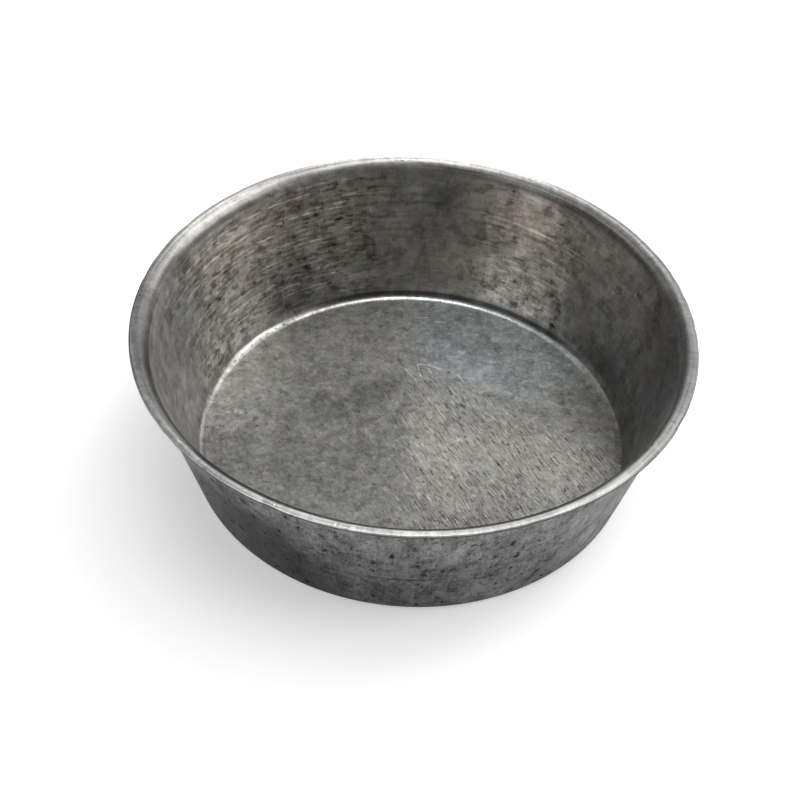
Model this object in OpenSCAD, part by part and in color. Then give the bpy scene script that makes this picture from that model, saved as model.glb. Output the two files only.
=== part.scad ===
// Small round pie dish, spun from one disc of bare aluminium sheet.
// The origin is the centre of the flat base, on the surface that the dish stands on, with +Z up.
// The section is one strip of even thickness: floor, corner bend, leaning wall, lip bend and lip.

/* [Dish] */
// Diameter over the lip, the widest part
rim_d = 100; // [88:1:150]
// Diameter of the base, where the outside of the wall would meet the table
base_d = 82; // [50:1:94]
// Height from the table to the top of the lip
height = 30; // [15:1:60]

/* [Sheet] */
// Thickness of the sheet
sheet_t = 1; // [0.5:0.1:2]
// Radius inside the bend from the floor into the wall
corner_r = 1.6; // [0.5:0.1:8]

/* [Lip] */
// Overhang of the lip beyond the outside of the wall
lip_w = 2; // [1.5:0.1:8]
// Radius under the bend from the wall into the lip
lip_bend_r = 1; // [0.3:0.1:1.4]
// Droop of the lip below level, in degrees
lip_droop = 8; // [0:1:20]
// Rounding of the two corners of the trimmed edge
edge_r = 0.3; // [0.05:0.05:0.5]

/* [Smoothness] */
// Largest turn between two points of a bend, in degrees
bend_step = 6; // [2:1:15]
// Sides of the round form on screen
round_sides = 240; // [60:20:360]

/* [Hidden] */

rim_r = rim_d / 2;
base_r = base_d / 2;

// Lean of the wall from upright, which brings it from the base to the foot of the lip
wall_foot_r = rim_r - lip_w;
lean = atan2(wall_foot_r - base_r, height - sheet_t);

// Outer radii of the two bends, each one sheet thickness from its inner radius
corner_outer_r = corner_r + sheet_t;
lip_outer_r = lip_bend_r + sheet_t;

// Each bend's centre stands its own radius clear of the outside line of the wall
corner_centre = [
    wall_line(corner_outer_r) - corner_outer_r / cos(lean),
    corner_outer_r
];
lip_centre = [
    wall_line(height - lip_outer_r) + lip_bend_r / cos(lean),
    height - lip_outer_r
];

// The wall leaves the corner bend at this angle, and meets the lip bend at its opposite
wall_angle = -lean;
// The lip leaves its bend at this angle
lip_angle = 90 - lip_droop;

// The trimmed edge: its two corners are rounded, and the upper one sets the rim diameter
trim_r = min(edge_r, sheet_t / 2);
trim_top = trim_centre(lip_outer_r - trim_r);
trim_bottom = trim_centre(lip_bend_r + trim_r);

// Radius of the outside line of the wall at height z
function wall_line(z) = base_r + z * tan(lean);

// Point at an angle and a distance from a centre
function polar(centre, r, angle) = centre + r * [cos(angle), sin(angle)];

// Points along an arc from one angle to another, both ends included unless first is 1
function arc(centre, r, from, to, first = 0) =
    let (steps = ceil(abs(to - from) / bend_step))
    [for (i = [first : steps]) polar(centre, r, from + (to - from) * i / steps)];

// Length of the straight lip, from its bend to the centres of its rounded corners
function lip_run() =
    (rim_r - trim_r - polar(lip_centre, lip_outer_r - trim_r, lip_angle)[0]) / cos(lip_droop);

// Centre of a rounded corner of the edge, at distance r from the lip's bend centre
function trim_centre(r) =
    polar(polar(lip_centre, r, lip_angle), lip_run(), -lip_droop);

// Underside of the sheet, from the middle of the base out to the edge
function outside_line() = concat(
    [[0, 0]],
    arc(corner_centre, corner_outer_r, -90, wall_angle),
    arc(lip_centre, lip_bend_r, 180 + wall_angle, lip_angle)
);

// Upper side of the sheet, from the edge over the crest at 90 degrees to the middle of the floor
function inside_line() = concat(
    arc(lip_centre, lip_outer_r, lip_angle, 90),
    arc(lip_centre, lip_outer_r, 90, 180 + wall_angle, first = 1),
    arc(corner_centre, corner_r, wall_angle, -90),
    [[0, sheet_t]]
);

// The trimmed edge, from its lower corner to its upper one
function trimmed_edge() = concat(
    arc(trim_bottom, trim_r, lip_angle - 180, -lip_droop),
    arc(trim_top, trim_r, -lip_droop, lip_angle)
);

module sheet_section() {
    polygon(concat(outside_line(), trimmed_edge(), inside_line()));
}

module dish() {
    color("#93928e")
        rotate_extrude($fn = round_sides)
            sheet_section();
}

dish();
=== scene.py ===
import math

import bpy
import numpy as np
from mathutils import Matrix, Vector


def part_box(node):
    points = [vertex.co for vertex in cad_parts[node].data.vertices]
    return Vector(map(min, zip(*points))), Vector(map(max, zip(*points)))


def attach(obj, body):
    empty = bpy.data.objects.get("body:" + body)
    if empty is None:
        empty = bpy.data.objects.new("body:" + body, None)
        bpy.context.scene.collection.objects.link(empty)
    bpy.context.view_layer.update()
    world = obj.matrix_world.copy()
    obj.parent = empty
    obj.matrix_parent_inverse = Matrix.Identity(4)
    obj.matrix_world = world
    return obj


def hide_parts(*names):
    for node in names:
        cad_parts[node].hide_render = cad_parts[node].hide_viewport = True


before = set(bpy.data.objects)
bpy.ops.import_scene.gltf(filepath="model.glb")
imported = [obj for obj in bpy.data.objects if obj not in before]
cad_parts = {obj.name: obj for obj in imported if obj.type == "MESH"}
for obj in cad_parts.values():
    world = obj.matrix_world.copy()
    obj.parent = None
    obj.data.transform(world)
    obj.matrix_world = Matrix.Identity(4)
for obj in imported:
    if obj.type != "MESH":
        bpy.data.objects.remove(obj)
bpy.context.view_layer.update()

# Angles around the dish are in degrees, counted from the right (+X) towards the rear (+Y)

# Form of the dish, in millimetres; the rim and the height come from the frame
MM = 0.001
NODE = "dish"
RIM_RADIUS = round(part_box(NODE)[1].y / MM, 1)
HEIGHT = round(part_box(NODE)[1].z / MM, 1)
SHEET = 1.0
BASE_RADIUS = 41.0
CORNER_RADIUS = 1.6
EDGE_SHEET = 0.7
EDGE_RADIUS = 0.3

# The lip was turned by hand, so its form changes around the dish: for each angle, its overhang,
# the radius under its bend and its droop in degrees
LIP_FORM = (
    (0, 1.9, 1.2, 6),
    (50, 1.6, 0.9, 5),
    (90, 1.3, 0.8, 4),
    (105, 1.45, 0.9, 4),
    (120, 2.3, 1.9, 3),
    (137, 2.7, 2.1, 2),
    (165, 2.7, 1.8, 2),
    (182, 2.5, 1.7, 3),
    (205, 1.8, 1.1, 6),
    (225, 1.2, 0.7, 7),
    (255, 1.2, 0.7, 6),
    (300, 1.25, 0.7, 6),
)
# How far the lip's edge stands out from a circle, in millimetres, at each angle
RIM_OUTLINE = (
    (0, -0.02), (80, 0.0), (170, -0.05), (190, 0.05), (208, 0.22), (225, 0.0), (245, -0.1),
    (262, -0.02), (295, -0.04), (328, 0.18), (348, 0.0),
)
# How bright the lip is at each angle, in its outer and in its inner half: wear and painted highlight
LIP_HIGHLIGHT_AND_WEAR = (
    (0, 0.12, 0.16), (15, 0.13, 0.42), (30, 0.14, 0.55), (45, 0.22, 0.7), (57, 0.42, 1.0),
    (64, 0.7, 1.0), (75, 1.0, 1.0), (90, 1.0, 1.0), (105, 0.85, 0.75), (120, 0.38, 0.4),
    (135, 0.16, 0.62), (150, 0.32, 0.66), (165, 0.12, 0.26), (180, 0.15, 0.12), (195, 0.35, 0.0),
    (210, 0.7, 0.0), (225, 0.75, 0.0), (240, 0.95, 0.0), (255, 0.95, 0.3), (270, 0.92, 0.65),
    (285, 0.56, 0.27), (300, 0.5, 0.27), (316, 0.32, 0.36), (328, 0.13, 0.22), (345, 0.06, 0.1),
)
# How strong the painted highlight along the floor's corner is at each angle
CORNER_HIGHLIGHT = (
    (0, 0.05), (30, 0.3), (45, 0.6), (58, 0.95), (75, 1.0), (100, 0.95), (118, 0.4), (130, 0.3),
    (146, 0.9), (160, 0.55), (175, 0.1), (205, 0.05), (300, 0.05),
)

# Upright patches of painted shade and painted light on the inside of the wall: how much, middle
# angle, half width and softness, and the heights at which each patch is out and is full
SHADED_PATCHES = (
    (0.28, 77, 8, 9, 8, 16), (0.5, 25, 7, 8, 11, 5), (0.15, 41, 3, 6, 17, 11), (0.1, 71, 2, 6, 0, 1),
    (0.12, 86, 3, 6, 13, 17), (0.35, 125, 7, 8, 13, 5), (0.2, 134, 8, 9, 0, 1),
    (0.14, 178, 16, 16, 12, 18), (0.3, 346, 14, 12, 10, 20),
)
LIT_PATCHES = ((0.35, 153, 9, 9, 10, 6), (0.35, 29, 8, 9, 10, 18), (0.22, 115, 4, 8, 0, 1))

# Single lines drawn round the wall, inside and outside: height, middle angle and half width
# The lines inside are painted bright, as highlights
INNER_MARKS = ((25.2, 146, 11), (10.0, 132, 16), (22.3, 122, 8), (17.5, 147, 9), (21.0, 62, 6))
OUTER_MARKS = (
    (10.0, 243, 12), (11.8, 254, 6), (12.7, 272, 9), (11.5, 284, 8), (14.6, 301, 9),
    (26.4, 234, 12),
)
INNER_MARK_WIDTH = 0.22
OUTER_MARK_WIDTH = 0.17
# Each outer line has a faint painted highlight above it
LIGHT_RISE = 0.4
LIGHT_WIDTH = 0.2

# Scratches on the floor: their direction in plan in degrees, and the two ends and the width of
# the longest, in millimetres from the middle
SCRATCH_ANGLE = 60
SCRATCH_MARKS = (
    ((1.2, 19.2), (3.6, 19.0)),
    ((3.6, 19.0), (5.8, 18.0)),
    ((1.2, 19.2), (1.9, 15.8)),
    ((-1.2, 17.6), (1.2, 14.2)),
    ((9.3, 16.6), (10.4, 14.8)),
    ((1.0, 33.4), (3.0, 33.6)),
    ((4.5, 32.4), (6.6, 32.2)),
)
SCRATCH_WIDTH = 0.19

# Sides of the mesh, and how many rings each part of the section has
SIDES = 300
FLOOR_RINGS = 26
FLOOR_CORNER_RINGS = 12
INNER_WALL_RINGS = 140
LIP_TOP_RINGS = 22
LIP_FLAT_RINGS = 6
EDGE_RINGS = 5
EDGE_FACE_RINGS = 1
LIP_UNDER_FLAT_RINGS = 2
LIP_UNDER_RINGS = 9
OUTER_WALL_RINGS = 50
BASE_CORNER_RINGS = 9
BASE_RINGS = 9

# How far the real dish is from a perfect revolve, in millimetres
SEED = 7
BASE_SHIFT_X = 0.50
BASE_SHIFT_Y = -0.32
LIP_RIPPLE = 0.03
LIP_RISE = 0.08
FLOOR_RIPPLE = 0.06
WALL_RIPPLE = 0.08
EDGE_NICKS = 46
NICK_DEPTH = 0.10
INNER_LINES = 60
OUTER_LINES = 14
LINE_DEPTH = 0.035

# Which material each face has: the flat parts lie below these heights, the lip beyond this place
WALL_FINISH, FLAT_FINISH, LIP_FINISH = 0, 1, 2
FLAT_INSIDE_TOP = SHEET + 0.5
FLAT_OUTSIDE_TOP = 0.5
LIP_START_RADIUS = 46.5
LIP_START_HEIGHT = 27.0

# Patterns on the metal are placed round the dish on one circle, and by the length along the
# section, taken as radius plus height; outside they are drawn out upright, from the top down
PATTERN_CIRCLE = 45.0
OUTER_WALL_TOP = 76.0
OUTER_STRETCH = 0.38

# Camera, from the fit of the rim, the base and the floor in the 800 px photograph
IMAGE_PX = 800
FOCAL_PX = 1400
SENSOR_MM = 36
CLIP_START = 0.01
CAMERA_DISTANCE = 0.24737
CAMERA_ELEVATION = math.radians(44.58)
CAMERA_ROLL = math.radians(2.89)
RIM_CENTRE_PX = (415.0, 318.2)

# Studio lamps: name, azimuth, elevation and spread in degrees, strength as irradiance
LAMPS = (
    ("right_low", 0, 20, 36, 0.81),
    ("right_high", 0, 50, 36, 0.20),
    ("over", 0, 85, 36, 0.72),
    ("rear_right_low", 45, 20, 36, 0.73),
    ("rear_right_high", 45, 50, 36, 0.70),
    ("rear", 90, 24, 36, 0.5),
    ("left", 180, 20, 36, 0.18),
    ("front_left", 225, 20, 36, 0.40),
)
WORLD_LEVEL = 0.25
PAPER_HALF_SIZE = 8.0
PAPER_COLOUR = 0.93
PAPER_FILL = 0.40

# A table's curve is worked out at every degree of three turns, and softened over 15 of them
TABLE_STEPS = 3 * 360 + 1
TABLE_SOFTENING = 15


def smooth(value, low, high):
    """0 at low and before it, 1 at high and past it, with a soft ramp between; either may be more."""
    x = np.clip((value - low) / (high - low), 0, 1)
    return x * x * (3 - 2 * x)


def angle_window(theta, centre, half_width, softness):
    """1 within half_width of the centre angle, fading out over softness; all in degrees."""
    away = np.abs((np.degrees(theta) - centre + 180) % 360 - 180)
    return 1 - smooth(away, half_width, half_width + softness)


def around(theta, rng, orders, size):
    """A smooth random curve around the dish, within plus or minus size."""
    curve = np.zeros_like(theta)
    for order in orders:
        curve += np.cos(order * theta + rng.uniform(0, 2 * math.pi)) * rng.uniform(0.4, 1)
    return size * curve / len(orders)


def around_table(theta, table, column):
    """A smooth periodic curve through one column of a table whose first column is the angle."""
    turn = 2 * math.pi
    fine = np.linspace(-turn, 2 * turn, TABLE_STEPS)
    angles = np.radians([row[0] for row in table])
    values = np.array([row[column] for row in table], float)
    angles = np.concatenate([angles - turn, angles, angles + turn])
    window = np.hanning(TABLE_SOFTENING)
    curve = np.convolve(np.interp(fine, angles, np.tile(values, 3)), window / window.sum(), "same")
    return np.interp(theta, fine, curve)


# The section of the sheet, as points that run from the middle of the floor round to the base
def arc(centre, radius, start, end, count):
    """Points along an arc, both ends included."""
    angles = np.linspace(start, end, count)
    return np.array(centre) + radius * np.stack([np.cos(angles), np.sin(angles)], 1)


def between(start, end, count):
    """Points strictly between two ends."""
    share = np.arange(1, count + 1)[:, None] / (count + 1)
    return np.array(start) + (np.array(end) - np.array(start)) * share


def section(overhang, bend_radius, droop):
    """(points of the inside as far as the edge, points of the rest) for one form of the lip."""
    wall_foot = RIM_RADIUS - overhang
    lean = math.atan2(wall_foot - BASE_RADIUS, HEIGHT - SHEET)
    corner_outer = CORNER_RADIUS + SHEET
    lip_outer = bend_radius + SHEET
    corner = (BASE_RADIUS + corner_outer * (math.tan(lean) - 1 / math.cos(lean)), corner_outer)
    lip_z = HEIGHT - lip_outer
    lip = (BASE_RADIUS + lip_z * math.tan(lean) + bend_radius / math.cos(lean), lip_z)
    along = np.array([math.cos(droop), -math.sin(droop)])
    upward = np.array([math.sin(droop), math.cos(droop)])
    lip_end = math.pi / 2 - droop
    trim_start = lip + (lip_outer - EDGE_RADIUS) * upward
    run = (RIM_RADIUS - EDGE_RADIUS - trim_start[0]) / along[0]
    trim_top = trim_start + run * along
    trim_bottom = trim_top - (EDGE_SHEET - 2 * EDGE_RADIUS) * upward

    floor_corner = arc(corner, CORNER_RADIUS, -math.pi / 2, -lean, FLOOR_CORNER_RINGS)
    lip_top = arc(lip, lip_outer, math.pi - lean, lip_end, LIP_TOP_RINGS)
    edge_top = arc(trim_top, EDGE_RADIUS, lip_end, -droop, EDGE_RINGS)
    edge_bottom = arc(trim_bottom, EDGE_RADIUS, -droop, lip_end - math.pi, EDGE_RINGS)
    lip_under = arc(lip, bend_radius, lip_end, math.pi - lean, LIP_UNDER_RINGS)
    base_corner = arc(corner, corner_outer, -lean, -math.pi / 2, BASE_CORNER_RINGS)
    inside = [
        between((0, SHEET), floor_corner[0], FLOOR_RINGS),
        floor_corner,
        between(floor_corner[-1], lip_top[0], INNER_WALL_RINGS),
        lip_top,
        between(lip_top[-1], edge_top[0], LIP_FLAT_RINGS),
        edge_top,
    ]
    outside = [
        between(edge_top[-1], edge_bottom[0], EDGE_FACE_RINGS),
        edge_bottom,
        between(edge_bottom[-1], lip_under[0], LIP_UNDER_FLAT_RINGS),
        lip_under,
        between(lip_under[-1], base_corner[0], OUTER_WALL_RINGS),
        base_corner,
        between(base_corner[-1], (0, 0), BASE_RINGS),
    ]
    return np.concatenate(inside), np.concatenate(outside)


def all_sections(theta):
    """(radius, height) of every ring and side, and how many rings belong to the inside."""
    overhang, bend, droop = (around_table(theta, LIP_FORM, column) for column in (1, 2, 3))
    halves = [section(*lip) for lip in zip(overhang, bend, np.radians(droop))]
    points = np.stack([np.concatenate(half) for half in halves], 1)
    return points[..., 0], points[..., 1], len(halves[0][0])


def section_normals(radius, height):
    """The outward normal of the sheet's surface, within each side's section."""
    step_r, step_z = np.gradient(radius, axis=0), np.gradient(height, axis=0)
    length = np.hypot(step_r, step_z)
    return -step_z / length, step_r / length


# Where each kind of finish is
def drawn_lines(theta, height, marks, width):
    """Single broken lines round the wall, as 0 to about 1."""
    lines = np.zeros_like(height)
    for level, centre, reach in marks:
        wander = 0.3 * np.cos(theta * 2 + level)
        broken = 0.6 + 0.6 * np.cos(theta * 31 + level) * np.cos(theta * 47 - level)
        line = np.exp(-(((height - level - wander) / width) ** 2))
        lines += line * broken * angle_window(theta, centre, reach, 8)
    return lines


class Sheet:
    """Every ring and side of the sheet, and masks of 0 to 1 made from its place and slope."""

    def __init__(self, theta, radius, height, tilt, outside):
        """The tilt is how far the surface leans towards the middle of the dish, in degrees."""
        self.theta, self.radius, self.height, self.tilt = theta, radius, height, tilt
        self.outside, self.inside = outside, 1 - outside
        self.wall = self.above(2.5, 3.6) * self.below(27, 28.5)
        self.lip = self.beyond(46.6, 47.8) * self.above(28.2, 29.2)
        self.lip_top = self.inside * self.above(26.5, 27.5)
        # The underside of the lip, and the lower face of its rounded edge at the front, where shade
        # is painted
        self.lip_underside = outside * self.beyond(48.3, 49.2) * self.above(27, 28)
        self.edge_round = self.inside * smooth(-tilt, 60, 85) * self.near(262, 52, 14)
        self.front = self.near(268, 34, 18)
        self.rear_left = self.near(148, 16, 18)
        self.rear_right = self.near(59, 8, 12)

    def near(self, centre, half_width, softness):
        """1 within half_width of an angle, fading out over softness."""
        return angle_window(self.theta, centre, half_width, softness)

    def above(self, low, high):
        """0 under the first height, 1 over the second."""
        return smooth(self.height, low, high)

    def below(self, low, high):
        """1 under the first height, 0 over the second."""
        return 1 - self.above(low, high)

    def beyond(self, near, far):
        """0 within the first radius, 1 outside the second."""
        return smooth(self.radius, near, far)

    def tilted(self, low, high):
        """0 where the tilt is under the first angle, 1 where it is over the second."""
        return smooth(self.tilt, low, high)


def turned_metal(at):
    """Where the lines of turning are strong: at the rear left, and less at the rear right."""
    turned = at.inside * (at.near(134, 20, 24) + 0.5 * at.rear_right + 0.15) + 0.1 * at.outside
    return at.wall * np.clip(turned, 0, 1)


def warm_tint(at):
    """Brownish tint: the rear of the wall, more so towards the top, and the lip at the rear left."""
    # The tint lies where the wall and the lip are lit, and is in part painted warm light
    zone = np.maximum(at.near(130, 15, 22), at.rear_right)
    zone = np.maximum(zone, 0.4 * at.near(34, 22, 14))
    return at.wall * at.inside * zone * (0.15 + 0.85 * at.above(3, 24)) + at.lip * at.rear_left


def wall_patches(at, table):
    """Upright patches on the inside of the wall."""
    patches = np.zeros_like(at.height)
    for amount, centre, half_width, softness, out, full in table:
        patches += amount * at.near(centre, half_width, softness) * smooth(at.height, out, full)
    return at.wall * at.inside * patches


def painted_light(at):
    """Painted light: a broad patch at the rear right, palest low down, and a few narrow ones."""
    rear_right = at.wall * at.inside * at.rear_right * (1 - 0.6 * at.above(4, 20))
    return rear_right + wall_patches(at, LIT_PATCHES)


def corner_line(at):
    """The painted highlight along the floor's corner, which climbs the bend at the rear left."""
    line_tilt = 17 + 31 * at.near(150, 8, 25)
    return at.inside * at.below(2.4, 2.8) * (1 - smooth(np.abs(at.tilt - line_tilt), 9, 18))


def highlit_worn_lip(at):
    """The lip's wear and painted highlight: on top, and at the rear down into the dish as well."""
    outer_half = at.beyond(48.7, 49.4)
    lip_highlight_and_wear = outer_half * around_table(at.theta, LIP_HIGHLIGHT_AND_WEAR, 1)
    lip_highlight_and_wear += (1 - outer_half) * around_table(at.theta, LIP_HIGHLIGHT_AND_WEAR, 2)

    # A narrow groove near the edge at the left, painted bright as a highlight
    groove = np.exp(-(((at.radius - 48.95) / 0.16) ** 2)) * at.near(188, 48, 12)
    lip_highlight_and_wear += groove * (0.08 + 0.25 * at.rear_left)
    # The painted highlight is mostly taken off the bend into the dish, but not at the rear
    highlit_bend = np.maximum(at.near(62, 45, 20), at.rear_left)
    bend_highlight = 1 - 0.85 * at.lip_top * at.tilted(12, 30) * (1 - 0.6 * highlit_bend)
    return at.lip * (1 - at.lip_underside) * (1 - at.edge_round) * bend_highlight * lip_highlight_and_wear


def highlit_worn_metal(at):
    """Wear and painted highlights: the lip, the line along the floor's corner, and lines on the wall.
    """
    # Painted highlights on the floor's edge beside the corner line, and on a second line above it
    line_foot = at.inside * at.below(2.4, 2.8) * at.beyond(37.6, 39)
    line_foot *= (1 - at.tilted(10, 20)) * at.near(80, 25, 20)
    second_line = at.inside * (1 - smooth(np.abs(at.height - 3.1), 0.2, 0.6)) * at.near(66, 18, 15)
    # Turned lines inside, and the upper side of each outer line, painted bright as highlights
    inner_lines = at.inside * drawn_lines(at.theta, at.height, INNER_MARKS, INNER_MARK_WIDTH)
    outer_lights = drawn_lines(at.theta, at.height - LIGHT_RISE, OUTER_MARKS, LIGHT_WIDTH)
    bright = corner_line(at) * around_table(at.theta, CORNER_HIGHLIGHT, 1) + 0.22 * line_foot
    bright += highlit_worn_lip(at) + 0.15 * second_line
    bright += 0.42 * inner_lines + 0.06 * at.outside * outer_lights
    return np.clip(bright, 0, 1)


def corner_shade(at):
    """Painted shade at the floor's corner: a line above the highlight, and where that is dimmed."""
    shadow_line = at.inside * at.tilted(36, 44) * at.below(2.2, 2.6) * at.near(80, 30, 20)
    dimmed = 0.7 * at.near(190, 26, 14) + 0.4 * at.near(8, 14, 12)
    return 0.9 * shadow_line + corner_line(at) * dimmed


def lip_shade(at):
    """Painted shade on the lip: on its slope into the dish, round its edge and under it."""
    slope = at.lip_top * (1 - at.tilted(60, 74))
    slope *= (
        at.tilted(8, 18) * at.front
        + 0.4 * at.tilted(22, 40) * at.near(78, 32, 25)
        + at.tilted(18, 44) * at.near(182, 16, 16)
    )
    slope *= 1 - 0.4 * at.tilted(44, 58) * at.near(163, 8, 9)
    crest = at.lip_top * at.tilted(1, 8) * at.near(238, 7, 9)
    under_crest = at.lip_top * at.tilted(46, 62) * at.above(27.4, 28.4) * at.near(54, 27, 12)
    below_bend = at.inside * at.above(25.6, 27.2) * at.tilted(40, 55) * at.near(143, 7, 16)
    below_bend *= 1 - 0.8 * at.tilted(64, 75)
    edge = at.beyond(RIM_RADIUS - 0.45, RIM_RADIUS - 0.2) * (1 - at.front)
    shade_and_lines = 0.9 * slope + 0.55 * crest + 0.6 * under_crest + 0.9 * below_bend
    return shade_and_lines + 0.4 * edge + at.edge_round + at.lip_underside


def outer_shade_and_lines(at):
    """Darker outside: painted shade low on the wall and at the front left, and along the drawn lines.
    """
    beside = at.beyond(38, 41)
    low = 0.54 * at.beyond(30, 40)
    low += beside * (0.42 * at.near(235, 13, 14) - 0.2 * at.near(298, 12, 12))
    shade_and_lines = low * at.below(5, 23) + 0.9 * beside * at.near(232, 9, 12) * at.below(18, 27)
    shade_and_lines += 0.12 * at.near(262, 6, 9) * at.above(9, 14) * at.below(17, 22)
    shade_and_lines += 0.75 * drawn_lines(at.theta, at.height, OUTER_MARKS, OUTER_MARK_WIDTH)
    return at.outside * shade_and_lines


def make_masks(at):
    """Each kind of finish and of painted light and shade by name, as 0 to 1 for every ring and side.
    """
    shade_and_lines = corner_shade(at) + lip_shade(at) + wall_patches(at, SHADED_PATCHES) + outer_shade_and_lines(at)
    return {
        "lip": at.lip,
        "outside": at.outside * (1 - at.lip),
        "marked": at.outside * (1 - at.lip) * at.near(268, 62, 30),
        "turned": turned_metal(at),
        "warm": warm_tint(at),
        "olive": at.inside * (1 - at.near(0, 16, 24)) * (1 - 0.4 * at.near(188, 14, 18)),
        "pale": painted_light(at),
        "bright": highlit_worn_metal(at),
        "shade_and_lines": np.clip(shade_and_lines, 0, 1),
    }


# Unevenness of the sheet, each in millimetres for every ring and side
def turned_lines(theta, height, rng, count, centre, spread):
    """Shallow lines that the spinning tool left, each round part of the wall."""
    depths = np.zeros_like(height)
    for _ in range(count):
        level = rng.uniform(3, HEIGHT - 2.5)
        width = rng.uniform(0.18, 0.4)
        middle = rng.normal(centre, spread)
        reach = rng.uniform(8, 45)
        wander = 0.12 * np.cos(theta + rng.uniform(0, 2 * math.pi))
        line = np.exp(-(((height - level - wander) / width) ** 2))
        size = LINE_DEPTH * rng.uniform(0.4, 1) * rng.choice([-1, 1], p=[0.7, 0.3])
        depths += size * line * angle_window(theta, middle, reach, 25)
    return depths


def tool_marks(at, rng):
    """Depth of the turned lines, inside and outside, on the wall alone."""
    wall = at.above(2.5, 4) * at.below(26, 27.5)
    inner_lines = turned_lines(at.theta, at.height, rng, INNER_LINES, 135, 45)
    outer_lines = turned_lines(at.theta, at.height, rng, OUTER_LINES, 270, 60)
    return wall * (at.inside * inner_lines + at.outside * outer_lines)


def bent_sheet(theta, radius, height, outside, rng):
    """(radius, height) with a wavy lip, a wall not quite round and a floor not quite flat."""
    lip_share = smooth(radius, LIP_START_RADIUS, RIM_RADIUS) * smooth(height, 26, 29)
    lip_ripple = around(theta, rng, (3, 5, 7, 11, 16), LIP_RIPPLE) - LIP_RIPPLE
    lip_ripple += around_table(theta, RIM_OUTLINE, 1)
    lip_rise = around(theta, rng, (2, 3, 4, 6, 9), LIP_RISE) - LIP_RISE
    wall_share = smooth(height, 1, 12) * (1 - smooth(height, 20, 29))
    wall_bulge = around(theta, rng, (2, 3, 5, 8), WALL_RIPPLE)
    floor_share = (1 - outside) * (1 - smooth(radius, 30, 39)) * (1 - smooth(height, 1.2, 2.2))
    swell = np.cos(radius / 7 + 1.3) * np.cos(theta * 2 + 0.6)
    swell = (swell + np.cos(radius / 4.3) * np.cos(theta * 3 + 2)) * smooth(radius, 2, 12)
    height = height + lip_share * lip_rise + floor_share * FLOOR_RIPPLE * swell
    return radius + lip_share * lip_ripple + wall_share * wall_bulge, height


def nicked_edge(theta, radius, rng):
    """The radius, with small nicks in the trimmed edge."""
    edge_share = smooth(radius, RIM_RADIUS - 0.7, RIM_RADIUS - 0.1)
    for _ in range(EDGE_NICKS):
        away = (np.degrees(theta) - rng.uniform(0, 360) + 180) % 360 - 180
        nick = NICK_DEPTH * rng.uniform(0.2, 1) * np.exp(-((away / rng.uniform(0.6, 1.6)) ** 2))
        radius = radius - edge_share * nick
    return radius


def dish_points():
    """(points of the rings in millimetres, masks, how many rings belong to the inside)."""
    theta_row = np.linspace(0, 2 * math.pi, SIDES, endpoint=False)
    radius, height, inside_rings = all_sections(theta_row)
    normal_r, normal_z = section_normals(radius, height)
    theta = np.broadcast_to(theta_row, radius.shape)
    outer_rings = (np.arange(len(radius)) >= inside_rings)[:, None]
    outside = np.broadcast_to(outer_rings, radius.shape).astype(float)
    at = Sheet(theta, radius, height, np.degrees(np.arctan2(-normal_r, normal_z)), outside)
    masks = make_masks(at)

    rng = np.random.default_rng(SEED)
    marks = tool_marks(at, rng)
    radius = radius + normal_r * marks
    height = height + normal_z * marks
    radius, height = bent_sheet(theta, radius, height, outside, rng)
    radius = nicked_edge(theta, radius, rng)

    # The base sits a little to one side of the rim
    drop = 1 - np.clip(height / HEIGHT, 0, 1)
    x = radius * np.cos(theta) + BASE_SHIFT_X * drop
    y = radius * np.sin(theta) + BASE_SHIFT_Y * drop
    return np.stack([x, y, np.maximum(height, 0)], -1), masks, inside_rings


# The mesh
def ring_faces(rings):
    """Quads between neighbouring rings, then the fans that close the floor and the base."""
    ring, side = np.meshgrid(np.arange(rings - 1), np.arange(SIDES), indexing="ij")
    after = (side + 1) % SIDES
    a, b = ring * SIDES + side, ring * SIDES + after
    faces = np.stack([a, a + SIDES, b + SIDES, b], -1).reshape(-1, 4).tolist()
    side, after = side[0], after[0]
    floor_middle, base_middle = rings * SIDES, rings * SIDES + 1
    base_ring = (rings - 1) * SIDES
    faces += np.stack([np.full(SIDES, floor_middle), side, after], 1).tolist()
    faces += np.stack([np.full(SIDES, base_middle), base_ring + after, base_ring + side], 1).tolist()
    return faces


def face_finishes(points, inside_rings):
    """Which material each face has, in the order of ring_faces."""
    level = points[:, 0, 2]
    flat_top = np.where(np.arange(len(points)) < inside_rings, FLAT_INSIDE_TOP, FLAT_OUTSIDE_TOP)
    beyond_wall = (points[..., 0] ** 2 + points[..., 1] ** 2).min(1) > LIP_START_RADIUS**2
    on_lip = beyond_wall & (level > LIP_START_HEIGHT)
    finish = np.where(level < flat_top, FLAT_FINISH, np.where(on_lip, LIP_FINISH, WALL_FINISH))
    fans = np.full(2 * SIDES, FLAT_FINISH)
    return np.concatenate([np.repeat(finish[:-1], SIDES), fans]).astype(np.int32)


def make_dish():
    """The whole dish as one closed mesh, with a point attribute for each mask."""
    points, masks, inside_rings = dish_points()
    middles = [points[0].mean(0), points[-1].mean(0)]
    vertices = np.concatenate([points.reshape(-1, 3), middles]) * MM
    faces = ring_faces(len(points))
    mesh = bpy.data.meshes.new("spun_dish")
    mesh.from_pydata(vertices.tolist(), [], faces)
    mesh.polygons.foreach_set("use_smooth", np.ones(len(faces), bool))
    mesh.polygons.foreach_set("material_index", face_finishes(points, inside_rings))
    for name, mask in masks.items():
        values = np.concatenate([mask.reshape(-1), [mask[0, 0], mask[-1, 0]]])
        layer = mesh.attributes.new(name, "FLOAT", "POINT")
        layer.data.foreach_set("value", values.astype(np.float32))
    mesh.validate()
    dish = bpy.data.objects.new("spun_dish", mesh)
    bpy.context.scene.collection.objects.link(dish)
    return dish


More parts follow.
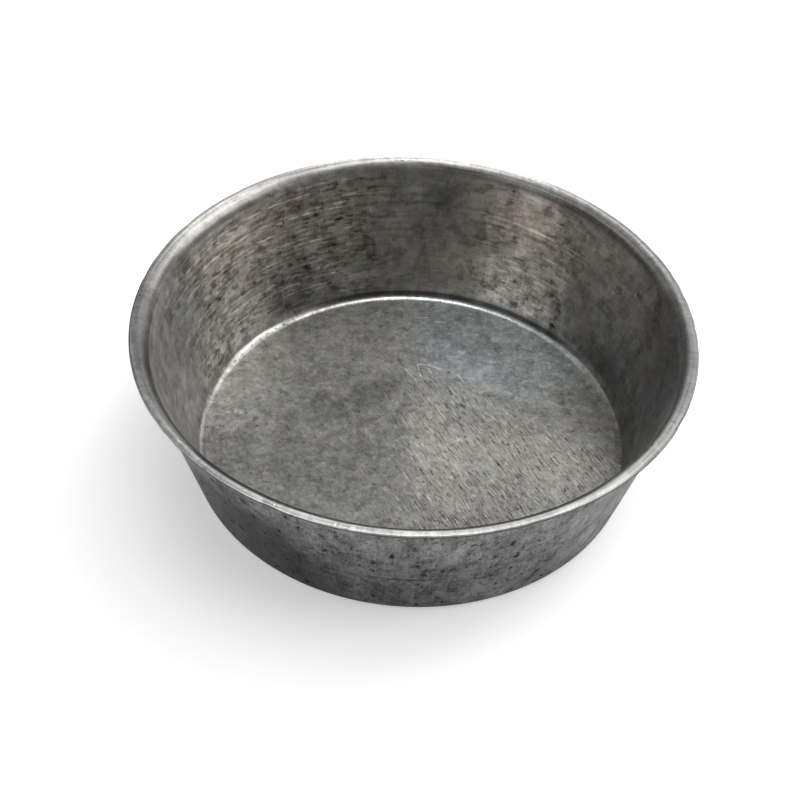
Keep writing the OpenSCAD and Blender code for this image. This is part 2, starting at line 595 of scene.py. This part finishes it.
# Short names for the shader nodes that the materials are made of
class Shader:
    def __init__(self, name):
        self.material = bpy.data.materials.new(name)
        self.material.use_nodes = True
        self.tree = self.material.node_tree
        self.tree.nodes.clear()

    def node(self, kind, inputs=(), **settings):
        """A new node, with its settings and with a value or a link for each named input."""
        made = self.tree.nodes.new(kind)
        for name, value in settings.items():
            setattr(made, name, value)
        for name, value in dict(inputs).items():
            self.put(made.inputs[name], value)
        return made

    def put(self, socket, value):
        """Links the value to the socket, or sets the socket to it."""
        if isinstance(value, bpy.types.NodeSocket):
            self.tree.links.new(value, socket)
        else:
            socket.default_value = value

    def surface(self, shader):
        """Ends the material with the given shader node."""
        output = self.node("ShaderNodeOutputMaterial")
        self.put(output.inputs["Surface"], shader.outputs[0])

    def mask(self, name):
        """One of the masks that the mesh carries."""
        return self.node("ShaderNodeAttribute", attribute_name=name).outputs["Fac"]

    def math(self, operation, a, b=0.0, c=0.0):
        made = self.node("ShaderNodeMath", {0: a, 1: b, 2: c}, operation=operation)
        return made.outputs[0]

    def add(self, *values):
        total = values[0]
        for value in values[1:]:
            total = self.math("ADD", total, value)
        return total

    def times(self, *values):
        total = values[0]
        for value in values[1:]:
            total = self.math("MULTIPLY", total, value)
        return total

    def line(self, value, slope, start):
        """The value times a slope, plus a start."""
        return self.math("MULTIPLY_ADD", value, slope, start)

    def rest(self, value):
        """What is left of one."""
        return self.math("SUBTRACT", 1.0, value)

    def vector(self, operation, a, b=(0, 0, 0), scale=None, output="Vector"):
        made = self.node("ShaderNodeVectorMath", {0: a, 1: b}, operation=operation)
        if scale is not None:
            self.put(made.inputs["Scale"], scale)
        return made.outputs[output]

    def noise(self, place, scale, detail=3.0, roughness=0.55):
        inputs = {"Vector": place, "Scale": scale, "Detail": detail, "Roughness": roughness}
        return self.node("ShaderNodeTexNoise", inputs).outputs["Fac"]

    def swing(self, place, scale, detail=3.0, roughness=0.55):
        """The same noise, as about minus one to one."""
        return self.line(self.noise(place, scale, detail, roughness), 4.0, -2.0)

    def step(self, value, low, high):
        """0 below low, 1 above high, with a soft ramp between."""
        inputs = {"Value": value, "From Min": low, "From Max": high}
        made = self.node("ShaderNodeMapRange", inputs, interpolation_type="SMOOTHSTEP")
        return made.outputs["Result"]

    def blend(self, factor, a, b):
        made = self.node("ShaderNodeMix", data_type="FLOAT")
        for socket, value in zip(made.inputs[:1] + made.inputs[2:4], (factor, a, b)):
            self.put(socket, value)
        return made.outputs[0]

    def blend_colour(self, factor, a, b):
        made = self.node("ShaderNodeMix", data_type="RGBA")
        for socket, value in zip((made.inputs[0], made.inputs[6], made.inputs[7]), (factor, a, b)):
            self.put(socket, value)
        return made.outputs[2]


def tint(red, green, blue):
    """A colour cast of unit brightness."""
    level = (red + green + blue) / 3
    return (red / level, green / level, blue / level, 1.0)


class Metal(Shader):
    """Bare aluminium: places to take patterns from, and the patterns that all its finishes share."""

    def __init__(self, name):
        super().__init__(name)
        self.outside = self.mask("outside")
        self.bright = self.mask("bright")
        self.shade_and_lines = self.mask("shade_and_lines")
        object_place = self.node("ShaderNodeTexCoord").outputs["Object"]
        self.place = self.vector("SCALE", object_place, scale=1 / MM)
        self.x, self.y, z = self.node("ShaderNodeSeparateXYZ", {0: self.place}).outputs
        flat = self.node("ShaderNodeCombineXYZ", {0: self.x, 1: self.y, 2: 0.0}).outputs[0]
        radius = self.vector("LENGTH", flat, output="Value")
        self.circle = self.vector("SCALE", self.vector("NORMALIZE", flat), scale=PATTERN_CIRCLE)
        run = self.add(radius, z)
        outer_run = self.times(self.outside, self.math("SUBTRACT", run, OUTER_WALL_TOP))
        self.run = self.add(run, self.times(outer_run, -OUTER_STRETCH))
        self.cloud = self.swing(self.place, 0.14, 2.0, 0.5)

    def round_place(self, across, up, shift=0.0):
        """Place on the sheet, stretched: across round the dish, and up its section."""
        rise = self.times(self.run, up)
        level = self.node("ShaderNodeCombineXYZ", {0: shift, 1: 0.0, 2: rise}).outputs[0]
        return self.vector("ADD", self.vector("SCALE", self.circle, scale=across), level)

    def moved(self, x, y, z=0.0):
        """The place moved aside, so that two patterns of one kind differ."""
        return self.vector("ADD", self.place, (x, y, z))

    def ragged(self, place, scale, size):
        """The place, moved about a little so that borders drawn with it are ragged."""
        wander = self.node("ShaderNodeTexNoise", {"Vector": place, "Scale": scale}).outputs[1]
        wander = self.vector("SUBTRACT", wander, (0.5, 0.5, 0.5))
        return self.vector("ADD", place, self.vector("SCALE", wander, scale=size))

    def islands(self, place, scale, detail, roughness, low, high):
        """1 where the noise is over the second limit, 0 where it is under the first."""
        return self.step(self.noise(place, scale, detail, roughness), low, high)

    def voronoi(self, place, scale):
        """(distance from a cell's middle, three random values of the cell)."""
        made = self.node("ShaderNodeTexVoronoi", {"Vector": place, "Scale": scale})
        parts = self.node("ShaderNodeSeparateColor", {0: made.outputs["Color"]}).outputs
        return made.outputs["Distance"], parts

    def cells(self, place, scale):
        """Small flat patches, each of its own level, as about minus one to one."""
        parts = self.voronoi(place, scale)[1]
        return self.line(parts[0], 2.0, -1.0)

    def specks(self, place, scale, near, far, share):
        """Small round marks of many sizes and depths, scattered on a share of the cells."""
        distance, (red, green, blue) = self.voronoi(place, scale)
        kept = self.step(green, 1.0 - share - 0.05, 1.0 - share + 0.05)
        depth = self.line(red, 0.65, 0.35)
        distance = self.math("DIVIDE", distance, self.line(blue, 1.1, 0.5))
        return self.times(kept, depth, self.rest(self.step(distance, near, far)))

    def away_from(self, x, y):
        """Distance in plan from a point of the floor, in millimetres."""
        offset = self.vector("SUBTRACT", self.place, (x, y, 0.0))
        flat = self.vector("MULTIPLY", offset, (1, 1, 0))
        return self.vector("LENGTH", flat, output="Value")

    def stroke(self, start, end, width):
        """1 along a straight mark on the floor between two points."""
        along = Vector(end) - Vector(start)
        offset = self.vector("SUBTRACT", self.place, (*start, 0.0))
        reach = (*(along / along.length_squared), 0.0)
        share = self.vector("DOT_PRODUCT", offset, reach, output="Value")
        share = self.math("MINIMUM", self.math("MAXIMUM", share, 0.0), 1.0)
        nearest = self.vector("SCALE", (*along, 0.0), scale=share)
        aside = self.vector("MULTIPLY", self.vector("SUBTRACT", offset, nearest), (1, 1, 0))
        aside = self.vector("LENGTH", aside, output="Value")
        return self.rest(self.step(aside, width * 0.3, width))

    def finish(self, colour, roughness, relief, anisotropy=0.0):
        """Ends the material; with anisotropy, the highlights are drawn out across turned lines."""
        bump = self.node("ShaderNodeBump", {"Strength": 1.0, "Distance": MM, "Height": relief})
        inputs = {
            "Base Color": colour,
            "Metallic": 1.0,
            "Roughness": roughness,
            "Normal": bump.outputs[0],
        }
        if anisotropy:
            tangent = self.node("ShaderNodeTangent", direction_type="RADIAL", axis="Z")
            inputs["Anisotropic"] = anisotropy
            inputs["Anisotropic Rotation"] = 0.25
            inputs["Tangent"] = tangent.outputs[0]
        self.surface(self.node("ShaderNodeBsdfPrincipled", inputs))


class SpunMetal(Metal):
    """The wall and the lip, inside and out: lines round the dish, upright smears, pits."""

    def __init__(self, name, anisotropy):
        super().__init__(name)
        self.lip = self.mask("lip")
        self.turned = self.mask("turned")
        self.warm = self.mask("warm")
        self.pale = self.mask("pale")
        self.make_patterns()
        self.make_marks()
        shine = self.blend(self.lip, self.line(self.smears, 0.2, 0.95), 1.0)
        self.bright = self.times(self.bright, self.line(self.mottle, 0.16, 0.94), shine)
        pattern = self.pattern()
        colour = self.vector("SCALE", self.tone(pattern), scale=self.times(self.level(), pattern))
        self.finish(colour, self.roughness(), self.relief(), anisotropy)

    def by_side(self, inside, outside):
        """One value inside the dish and another outside."""
        return self.blend(self.outside, inside, outside)

    def where_turned(self, more, least):
        """A value that grows where the lines of turning are strong."""
        return self.add(self.times(self.turned, more), least)

    def make_patterns(self):
        """Patterns that go over the whole metal, from about minus one to one."""
        self.mottle = self.swing(self.round_place(0.85, 0.7), 0.9, 2.5, 0.55)
        self.blotch = self.swing(self.round_place(0.32, 0.28, 5.0), 1.0, 2.0, 0.55)
        self.smears = self.swing(self.round_place(1.9, 0.45, 20.0), 1.0, 3.0, 0.7)
        self.dashes = self.swing(self.round_place(0.28, 1.5, 150.0), 1.0, 2.0, 0.55)
        self.rings = self.swing(self.round_place(0.045, 1.2), 1.0, 3.0, 0.7)
        self.fine_rings = self.swing(self.round_place(0.12, 4.0, 9.0), 1.0, 2.0, 0.6)
        self.grain = self.swing(self.round_place(2.6, 2.2, 130.0), 1.0, 2.0, 0.6)
        self.patches = self.cells(self.ragged(self.round_place(0.42, 0.30, 12.0), 2.5, 0.5), 1.0)
        self.blocks = self.cells(self.ragged(self.round_place(0.62, 1.3, 44.0), 2.0, 0.35), 1.0)

    def make_marks(self):
        """Marks with borders of their own, from 0 to 1."""
        pit_place = self.ragged(self.round_place(0.66, 0.68, 50.0), 1.1, 1.2)
        pitted = self.noise(self.round_place(0.4, 0.4, 15.0), 1.0, 2.0, 0.5)
        pitted = self.step(pitted, self.by_side(0.50, 0.1), self.by_side(0.66, 0.45))
        self.pits = self.times(self.specks(pit_place, 1.0, 0.10, 0.30, 0.8), pitted)
        self.dents = self.islands(self.round_place(0.8, 4.2, 170.0), 1.0, 2.0, 0.6, 0.60, 0.70)
        self.flecks = self.islands(self.round_place(1.0, 1.5, 70.0), 1.0, 3.0, 0.65, 0.62, 0.72)
        self.flakes = self.islands(self.round_place(0.95, 1.2, 61.0), 1.0, 3.0, 0.65, 0.60, 0.68)
        scores = self.islands(self.round_place(0.05, 1.4, 90.0), 1.0, 1.5, 0.5, 0.58, 0.66)
        broken = self.islands(self.round_place(0.3, 0.5, 110.0), 1.0, 3.0, 0.6, 0.40, 0.58)
        self.scores = self.times(scores, broken)

    def level(self):
        """How bright the metal is, without its pattern."""
        level = self.by_side(self.blend(self.pale, 0.30, 0.46), 0.145)
        level = self.blend(self.lip, level, 0.15)
        # Painted highlights and wear lighten the metal, painted shade and dark lines darken it
        level = self.blend(self.bright, level, 0.89)
        return self.times(level, self.blend(self.shade_and_lines, 1.0, 0.21))

    def pattern(self):
        """All patterns and marks together, as a factor about one."""
        strength = self.add(
            self.by_side(0.95, 1.45),
            self.times(self.turned, 0.3),
            self.times(self.lip, -0.55),
            self.times(self.mask("marked"), 0.75),
            self.times(self.pale, 0.5),
        )
        pattern = self.add(
            self.times(self.cloud, 0.16),
            self.times(self.mottle, self.by_side(0.12, 0.20)),
            self.times(self.blotch, self.by_side(0.20, 0.18)),
            self.times(self.patches, self.by_side(0.18, 0.07)),
            self.times(self.blocks, self.where_turned(0.24, 0.06)),
            self.times(self.smears, self.add(self.by_side(0.15, 0.19), self.times(self.lip, 0.3))),
            self.times(self.grain, self.by_side(0.05, 0.23)),
            self.times(self.dashes, self.where_turned(0.08, 0.02)),
            self.times(self.rings, self.where_turned(0.10, self.times(self.lip, 0.45))),
            self.times(self.fine_rings, self.where_turned(0.04, self.times(self.lip, 0.5))),
            self.times(self.scores, self.where_turned(0.38, 0.04), self.by_side(1.0, -0.6)),
            self.times(self.flecks, self.by_side(0.24, 0.20)),
            self.times(self.flakes, self.by_side(-0.18, -0.17)),
            self.times(self.pits, self.by_side(-0.34, -0.40)),
            self.times(self.dents, self.lip, -0.5),
        )
        return self.math("MAXIMUM", self.line(pattern, strength, 1.0), 0.1)

    def tone(self, pattern):
        """The colour cast: olive and brown inside, violet low outside, none where it is bright."""
        hue = self.islands(self.round_place(0.36, 0.3, 33.0), 1.0, 3.0, 0.6, 0.38, 0.62)
        plain = self.blend_colour(hue, tint(0.985, 1.0, 1.02), tint(1.04, 0.99, 0.985))
        olive = self.blend_colour(hue, tint(0.975, 1.0, 0.875), tint(1.08, 0.985, 0.93))
        warm = self.blend_colour(hue, tint(1.07, 1.0, 0.87), tint(1.17, 0.99, 0.885))
        inner = self.blend_colour(self.mask("olive"), plain, olive)
        inner = self.blend_colour(self.warm, inner, warm)
        outer = self.blend_colour(self.shade_and_lines, tint(1.0, 0.998, 1.0), tint(1.09, 0.96, 1.03))
        tone = self.blend_colour(self.outside, inner, outer)
        light_marks = self.times(self.step(pattern, 0.9, 1.6), 0.4)
        tone = self.blend_colour(light_marks, tone, tint(1.0, 1.0, 1.0))
        # The colour of the lip and of the painted highlights
        lip_and_highlight_tone = self.blend_colour(self.warm, tint(1.01, 1.0, 0.985), tint(1.03, 1.0, 0.95))
        return self.blend_colour(self.math("MAXIMUM", self.lip, self.bright), tone, lip_and_highlight_tone)

    def roughness(self):
        roughness = self.blend(self.lip, self.blend(self.bright, 0.43, 0.28), 0.36)
        return self.add(roughness, self.times(self.mottle, 0.05), self.times(self.pits, 0.2))

    def relief(self):
        """Depth of the patterns, in millimetres."""
        return self.add(
            self.times(self.mottle, 0.008),
            self.times(self.smears, 0.004),
            self.times(self.rings, self.where_turned(0.012, 0.002)),
            self.times(self.scores, self.where_turned(0.03, 0.006)),
            self.times(self.pits, -0.06),
        )


class RolledMetal(Metal):
    """The floor and the base: patches, specks, and straight scratches all one way."""

    def __init__(self, name):
        super().__init__(name)
        self.inner = self.rest(self.outside)
        self.make_patterns()
        self.make_zones()
        self.make_scratches()
        pattern = self.pattern()
        colour = self.vector("SCALE", self.tone(), scale=self.times(self.level(), pattern))
        roughness = self.add(
            self.blend(self.bright, 0.44, 0.30),
            self.times(self.mottle, 0.04),
            self.times(self.pits, 0.2),
        )
        relief = self.add(
            self.times(self.mottle, 0.006),
            self.times(self.scratches, -0.02),
            self.times(self.pits, -0.05),
        )
        self.finish(colour, roughness, relief)

    def make_patterns(self):
        """Patterns that go over the whole metal, and marks with borders of their own."""
        self.blotch = self.swing(self.place, 0.35, 3.0, 0.6)
        self.mottle = self.swing(self.place, 1.0, 3.0, 0.62)
        self.grain = self.swing(self.place, 2.8, 2.0, 0.6)
        self.broad_patches = self.cells(self.ragged(self.moved(19.0, 3.0), 0.7, 3.0), 0.24)
        self.patches = self.cells(self.ragged(self.place, 1.6, 1.0), 0.7)
        self.small_patches = self.cells(self.ragged(self.place, 2.4, 0.6), 1.5)
        chip_place = self.ragged(self.moved(7.0, 41.0), 2.2, 0.9)
        self.chips = self.specks(chip_place, 0.40, 0.08, 0.22, 0.35)
        self.pits = self.islands(self.moved(31.0, 7.0, 3.0), 1.3, 2.0, 0.45, 0.68, 0.74)
        self.flakes = self.islands(self.moved(61.0, 5.0, 29.0), 0.9, 3.0, 0.6, 0.56, 0.62)

    def make_zones(self):
        """Parts of the floor with ragged borders, placed in millimetres from its middle."""
        ragged_x = self.add(self.x, self.times(self.cloud, 3.0), self.times(self.blotch, 2.0))
        ragged_y = self.add(self.y, self.times(self.cloud, 2.0), self.times(self.blotch, 1.5))

        # The right half was scoured, the left half rubbed dull; both end on a slant at the rear
        rear = self.step(self.add(ragged_y, self.times(self.x, 0.57)), 17.5, 20.5)
        self.scoured = self.times(self.rest(rear), self.step(ragged_x, -11.0, 6.0), self.inner)
        rear = self.step(self.add(ragged_y, self.times(self.x, -0.57)), 16.5, 19.5)
        left = self.rest(self.step(ragged_x, -9.0, 8.0))
        front = self.step(ragged_y, -22.0, -10.0)
        self.rubbed = self.times(self.rest(rear), left, front, self.inner)

        # A dark spot left of the middle, a painted pale reflection at the rear right, both sides
        # paler
        dim = self.add(self.away_from(-8.5, 7.5), self.times(self.blotch, 1.5))
        self.dim = self.times(self.inner, self.rest(self.step(dim, 3.0, 12.0)))
        reflection_spot = self.add(self.away_from(18.0, 31.0), self.times(self.cloud, 4.0))
        self.reflection_spot = self.times(self.inner, self.rest(self.step(reflection_spot, 12.0, 27.0)))
        aside = self.math("ABSOLUTE", self.add(self.x, self.times(self.blotch, 2.0)))
        self.at_sides = self.times(self.inner, self.step(aside, 19.0, 30.0))

    def streaks(self, along, stretch, shift, detail, roughness, low, high):
        """1 on short marks that run along the scratches, 0 between them."""
        place = self.vector("ADD", self.vector("MULTIPLY", along, stretch), shift)
        return self.islands(place, 1.0, detail, roughness, low, high)

    def make_scratches(self):
        """Short scratches all one way, mostly on the scoured part, and the longest one by one."""
        angle = (0, 0, math.radians(SCRATCH_ANGLE))
        along = self.node("ShaderNodeMapping", {"Vector": self.place, "Rotation": angle}).outputs[0]
        light = self.streaks(along, (0.40, 3.9, 0.3), (0, 0, 0), 2.0, 0.6, 0.55, 0.68)
        dark = self.streaks(along, (0.45, 3.4, 0.3), (40.0, 20.0, 0.0), 2.0, 0.6, 0.54, 0.68)
        self.hairs = self.streaks(along, (0.45, 2.2, 0.3), (80.0, 10.0, 0.0), 1.0, 0.5, 0.70, 0.76)
        share = self.add(self.times(self.scoured, 0.9), self.times(self.rubbed, 0.12), 0.06)
        self.scratches = self.times(share, self.math("SUBTRACT", light, self.times(dark, 0.8)))
        marks = 0.0
        for start, end in SCRATCH_MARKS:
            marks = self.math("MAXIMUM", marks, self.stroke(start, end, SCRATCH_WIDTH))
        self.marks = self.times(marks, self.inner, self.step(self.grain, -1.2, 0.2))

    def where_scoured(self, elsewhere, scoured):
        """One value on the scoured part and another elsewhere."""
        return self.blend(self.scoured, elsewhere, scoured)

    def level(self):
        """How bright the metal is, without its pattern: darker to the front, as in the photo."""
        base = self.blend(self.step(self.away_from(0, 0), 35.0, 39.5), 0.28, 0.14)
        level = self.times(
            self.blend(self.outside, 0.41, base),
            self.blend(self.rubbed, 1.0, 0.74),
            self.blend(self.dim, 1.0, 0.84),
            self.blend(self.reflection_spot, 1.0, 1.52),
            self.blend(self.at_sides, 0.93, 1.09),
            self.where_scoured(1.0, 1.08),
            self.blend(self.rest(self.step(self.y, -26.0, 2.0)), 1.0, 0.66),
        )
        # The painted highlight along the corner lightens the metal, painted shade darkens it
        level = self.blend(self.bright, level, 0.85)
        return self.times(level, self.blend(self.shade_and_lines, 1.0, 0.25))

    def pattern(self):
        """All patterns and marks together, as a factor about one."""
        pattern = self.add(
            0.92,
            self.times(self.cloud, 0.07),
            self.times(self.blotch, 0.18),
            self.times(self.mottle, self.where_scoured(0.09, 0.14)),
            self.times(self.broad_patches, 0.07),
            self.times(self.patches, self.where_scoured(0.17, 0.10)),
            self.times(self.small_patches, self.where_scoured(0.13, 0.08)),
            self.times(self.grain, self.where_scoured(0.06, 0.10)),
            self.times(self.flakes, 0.22),
            self.times(self.chips, 0.5),
            self.times(self.hairs, -0.35),
            self.times(self.scratches, 0.8),
            self.times(self.marks, 0.9),
            self.times(self.pits, -0.4),
        )
        return self.math("MAXIMUM", pattern, 0.1)

    def tone(self):
        """The colour cast: olive in two hues, yellower where scoured, blue on the painted reflection.
        """
        hue = self.islands(self.place, 0.28, 3.0, 0.6, 0.40, 0.60)
        second_hue = self.islands(self.moved(23.0, 57.0), 0.2, 3.0, 0.6, 0.45, 0.65)
        tone = self.blend_colour(hue, tint(0.975, 1.0, 0.915), tint(1.03, 0.99, 0.955))
        tone = self.blend_colour(self.times(second_hue, 0.8), tone, tint(0.985, 1.0, 0.99))
        tone = self.blend_colour(self.times(self.scoured, 0.7), tone, tint(1.025, 1.0, 0.925))
        tone = self.blend_colour(self.reflection_spot, tone, tint(0.935, 1.0, 1.03))
        return self.blend_colour(self.outside, tone, tint(1.01, 0.985, 1.005))


class Paper(Shader):
    """Matt white paper, made lighter for the camera and for reflections alone."""

    def __init__(self, name):
        super().__init__(name)
        colour = (PAPER_COLOUR, PAPER_COLOUR, PAPER_COLOUR, 1.0)
        matt = self.node("ShaderNodeBsdfDiffuse", {"Color": colour})
        ray = self.node("ShaderNodeLightPath").outputs
        seen = self.math("MAXIMUM", ray["Is Camera Ray"], ray["Is Glossy Ray"])
        seen = self.math("MAXIMUM", seen, ray["Is Transmission Ray"])
        fill = self.node("ShaderNodeEmission", {"Strength": self.times(seen, PAPER_FILL)})
        self.surface(self.node("ShaderNodeAddShader", {0: matt.outputs[0], 1: fill.outputs[0]}))


# Studio
def make_floor():
    mesh = bpy.data.meshes.new("studio_floor")
    half = PAPER_HALF_SIZE
    corners = [(-half, -half, 0), (half, -half, 0), (half, half, 0), (-half, half, 0)]
    mesh.from_pydata(corners, [], [(0, 1, 2, 3)])
    mesh.materials.append(Paper("studio_paper").material)
    floor = bpy.data.objects.new("studio_floor", mesh)
    bpy.context.scene.collection.objects.link(floor)


def make_world():
    world = bpy.data.worlds.new("studio")
    world.use_nodes = True
    background = world.node_tree.nodes["Background"].inputs
    background["Color"].default_value = (1, 1, 1, 1)
    background["Strength"].default_value = WORLD_LEVEL
    bpy.context.scene.world = world


def make_lamps():
    for name, azimuth, elevation, spread, strength in LAMPS:
        lamp = bpy.data.lights.new(name, "SUN")
        lamp.energy = strength
        lamp.angle = math.radians(spread)
        lamp_object = bpy.data.objects.new(name, lamp)
        a, e = math.radians(azimuth), math.radians(elevation)
        towards = Vector((math.cos(a) * math.cos(e), math.sin(a) * math.cos(e), math.sin(e)))
        lamp_object.rotation_euler = towards.to_track_quat("Z", "Y").to_euler()
        lamp_object.location = towards
        bpy.context.scene.collection.objects.link(lamp_object)


def make_camera():
    """The camera of the photograph, placed so that the rim's centre falls on its pixel."""
    data = bpy.data.cameras.new("camera")
    data.sensor_width = SENSOR_MM
    data.lens = SENSOR_MM * FOCAL_PX / IMAGE_PX
    data.clip_start = CLIP_START
    e, roll = CAMERA_ELEVATION, CAMERA_ROLL
    back = Vector((0, -math.cos(e), math.sin(e)))
    level_right, level_up = Vector((1, 0, 0)), Vector((0, math.sin(e), math.cos(e)))
    right = math.cos(roll) * level_right + math.sin(roll) * level_up
    up = -math.sin(roll) * level_right + math.cos(roll) * level_up
    aside = (RIM_CENTRE_PX[0] - IMAGE_PX / 2) / FOCAL_PX * CAMERA_DISTANCE
    above = (IMAGE_PX / 2 - RIM_CENTRE_PX[1]) / FOCAL_PX * CAMERA_DISTANCE
    rim_centre = Vector((0, 0, HEIGHT * MM))
    place = rim_centre + CAMERA_DISTANCE * back - aside * right - above * up
    camera = bpy.data.objects.new("camera", data)
    turn = Matrix((right, up, back)).transposed().to_4x4()
    camera.matrix_world = Matrix.Translation(place) @ turn
    bpy.context.scene.collection.objects.link(camera)
    bpy.context.scene.camera = camera


make_camera()
make_world()
make_lamps()
make_floor()

# The order of the materials is that of WALL_FINISH, FLAT_FINISH and LIP_FINISH
dish = make_dish()
dish.data.materials.append(SpunMetal("spun_aluminium", 0.8).material)
dish.data.materials.append(RolledMetal("rolled_aluminium").material)
dish.data.materials.append(SpunMetal("turned_lip", 0.4).material)
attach(dish, "root")
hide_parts(NODE)

bpy.context.scene.view_settings.view_transform = "Standard"
